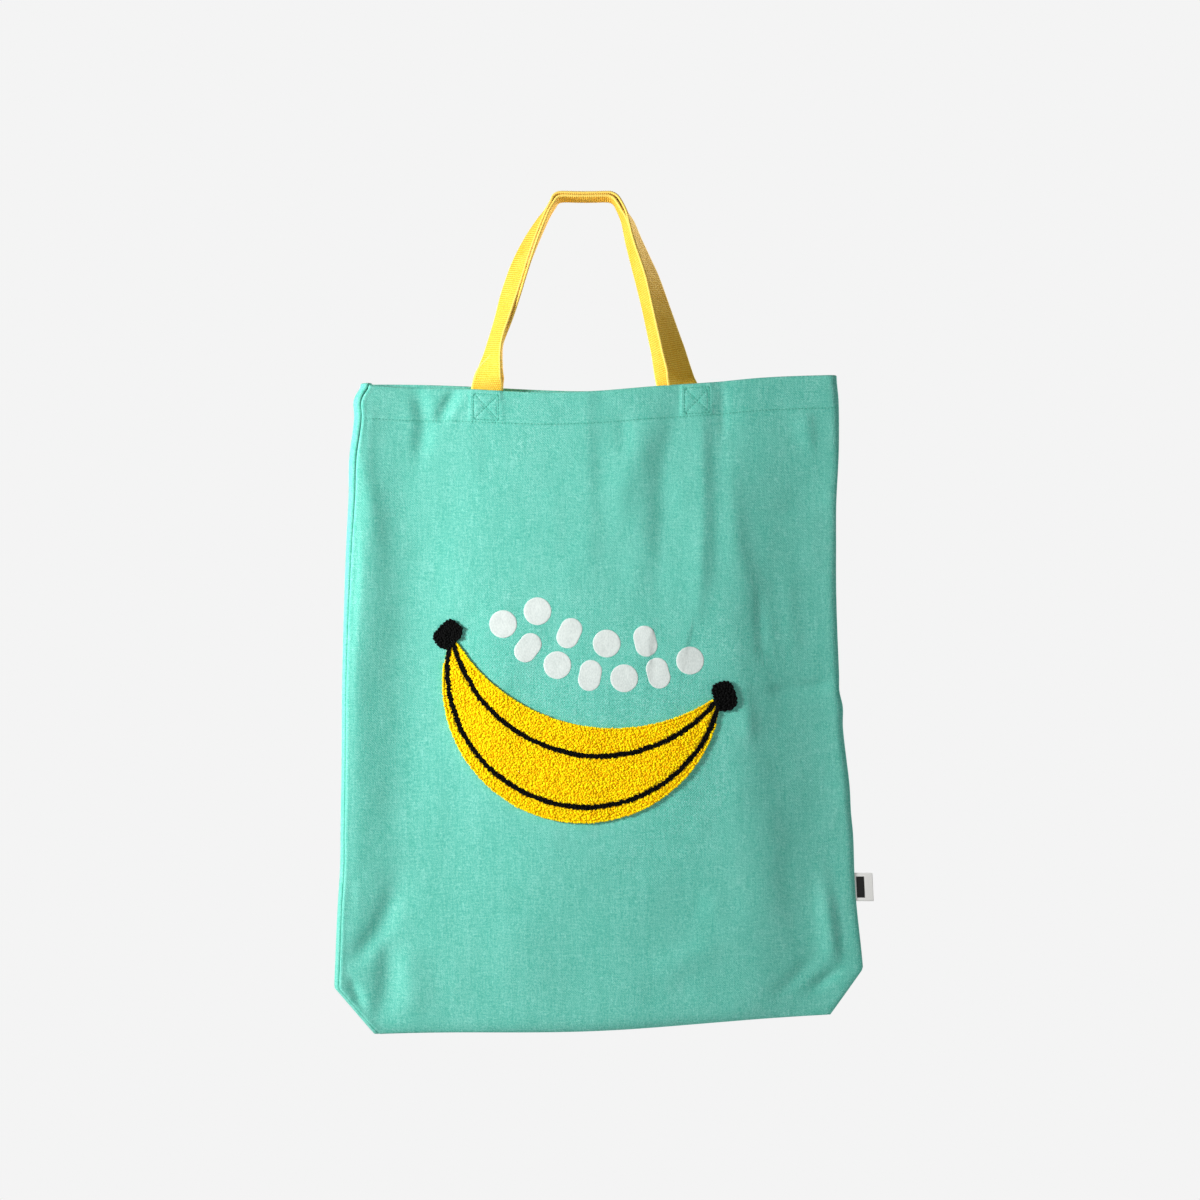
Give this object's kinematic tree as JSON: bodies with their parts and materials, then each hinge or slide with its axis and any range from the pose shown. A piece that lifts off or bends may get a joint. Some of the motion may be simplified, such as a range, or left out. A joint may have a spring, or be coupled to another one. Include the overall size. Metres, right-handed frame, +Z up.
{
  "type": "canvas tote bag",
  "caption": "Flat canvas tote bag with boxed lower corners, hemmed mouth, webbing handles sewn inside the hem, a looped-pile crescent patch and a side tag.",
  "frame": {"origin": "underside of the inner handle in the middle of its top, where a hook carries the hanging bag", "axes": "+Z up, -Y towards the printed front, +X to the right as seen from the front"},
  "size_m": [0.4328, 0.0322, 0.672],
  "materials": {
    "canvas": "matte mint green cotton canvas",
    "seam_tape": "matte overlocked canvas edge",
    "webbing": "ribbed yellow cotton webbing",
    "thread": "matte spun thread",
    "yellow_pile": "looped chenille pile",
    "black_pile": "looped chenille pile",
    "print_ink": "soft matte screen print",
    "tag": "smooth woven tag"
  },
  "bodies": {
    "bag": {"front_panel": "canvas", "back_panel": "canvas", "front_hem": "canvas", "back_hem": "canvas", "left_side_seam": "seam_tape", "left_corner_seam": "seam_tape", "bottom_seam": "seam_tape", "right_corner_seam": "seam_tape", "right_side_seam": "seam_tape", "front_left_strap_end": "webbing", "front_right_strap_end": "webbing", "back_left_strap_end": "webbing", "back_right_strap_end": "webbing", "front_hem_stitching": "thread", "back_hem_stitching": "thread", "front_left_box_stitch": "thread", "front_right_box_stitch": "thread", "back_left_box_stitch": "thread", "back_right_box_stitch": "thread", "patch_pile": "yellow_pile", "patch_left_tip": "black_pile", "patch_right_tip": "black_pile", "patch_upper_ridge": "black_pile", "patch_lower_ridge": "black_pile", "print_upper_row": "print_ink", "print_lower_row": "print_ink"},
    "front_handle": {"front_handle": "webbing"},
    "back_handle": {"back_handle": "webbing"},
    "side_tag": {"side_tag": "tag"}
  },
  "joints": [
    {"name": "front_handle_fold", "type": "hinge", "parent": "bag", "child": "front_handle", "pos_m": [0.011, -0.01, -0.14], "axis": [0.9998, 0, 0.0175], "range_deg": [0, 160]},
    {"name": "back_handle_fold", "type": "hinge", "parent": "bag", "child": "back_handle", "pos_m": [0.011, 0.01, -0.14], "axis": [-0.9998, 0, -0.0175], "range_deg": [0, 160]},
    {"name": "side_tag_flap", "type": "hinge", "parent": "bag", "child": "side_tag", "pos_m": [0.22081, 0, -0.54976], "axis": [-0.0403, 0, 0.9992], "range_deg": [-85, 85]}
  ]
}
